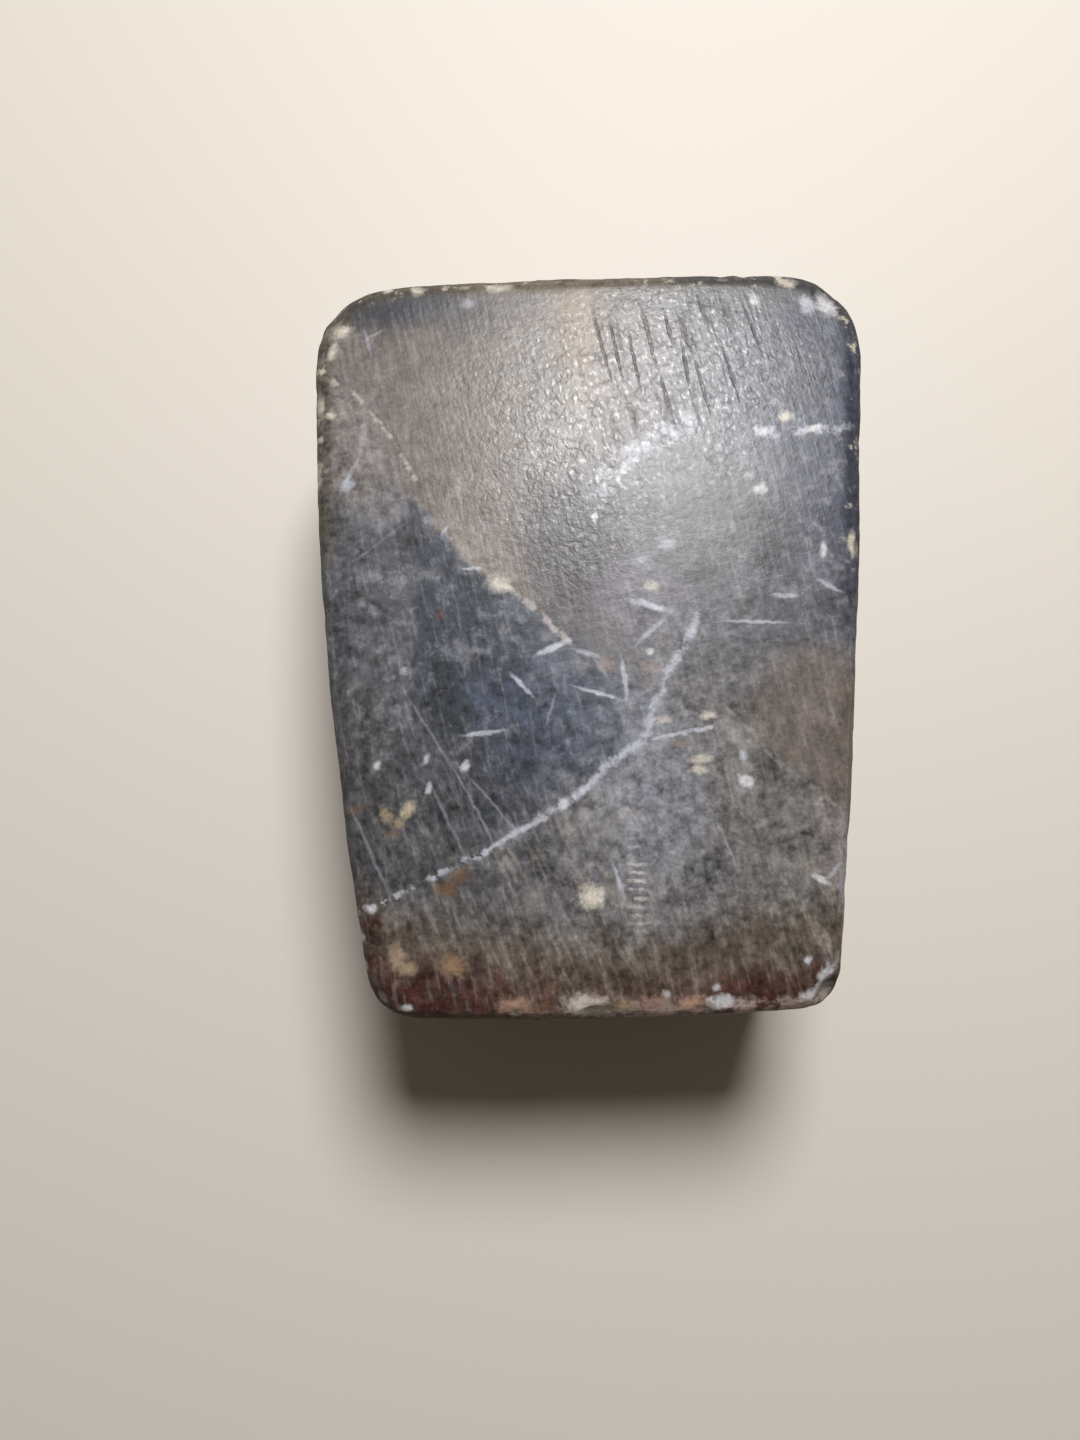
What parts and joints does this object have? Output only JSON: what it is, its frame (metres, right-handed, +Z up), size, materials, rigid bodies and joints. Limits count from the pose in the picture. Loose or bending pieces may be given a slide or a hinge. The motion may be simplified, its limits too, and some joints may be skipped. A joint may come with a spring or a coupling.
{
  "type": "whetstone",
  "caption": "Hand whetstone: a thick tapered block of natural stone with rounded edges, a flat base to rest on and a gently crowned honing face on top.",
  "frame": {"origin": "on the plane that the base rests on, below the middle of the block's outline", "axes": "+Z up, out of the honing face; +Y along the stone's length towards its broad end; +X across the stone, to the right when it is seen from above with the broad end up"},
  "size_m": [0.0784, 0.105, 0.0418],
  "materials": {
    "stone": "Fine grey-blue and taupe natural stone, honed to a satin sheen on top with fine scratches, cut by white mineral veins and stained red-brown at the narrow end; sides dressed and matt."
  },
  "bodies": {
    "root": {"stone_block": "stone"}
  },
  "joints": []
}
